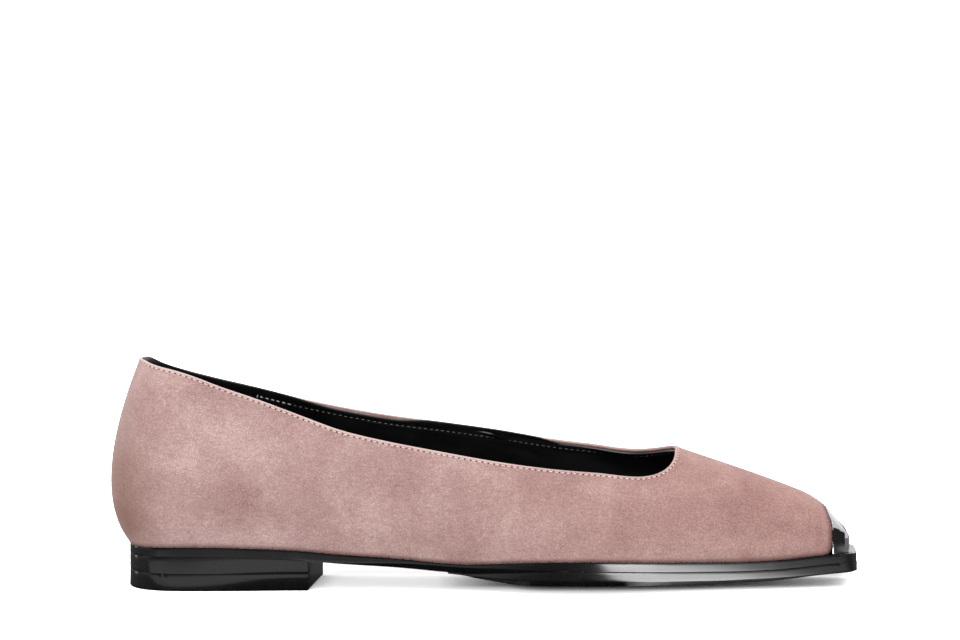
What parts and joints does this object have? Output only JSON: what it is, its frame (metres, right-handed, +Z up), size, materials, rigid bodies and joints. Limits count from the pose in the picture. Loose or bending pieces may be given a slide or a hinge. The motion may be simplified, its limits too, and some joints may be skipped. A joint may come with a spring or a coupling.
{
  "type": "ballet flat",
  "caption": "Low slip-on ballet flat with a suede upper, deep collar, square toe with a metal tip, thin black sole and low block heel.",
  "frame": {"origin": "on the floor plane, in the middle of the shoe's box seen from above", "axes": "+X from the heel to the toe, +Y to the wearer's left, which is the inner side of this right shoe, +Z up"},
  "size_m": [0.2662, 0.076, 0.081],
  "materials": {
    "suede": "napped matt suede, dusty pink",
    "lining_leather": "smooth black leather with a soft gloss",
    "tip_metal": "polished metal",
    "sole_edge": "black edge dressing, satin",
    "tread": "black, satin"
  },
  "bodies": {
    "root": {"upper": "suede", "toe_tip": "tip_metal", "insole": "lining_leather", "midsole": "sole_edge", "outsole": "tread", "heel": "sole_edge", "top_piece": "tread"}
  },
  "joints": []
}
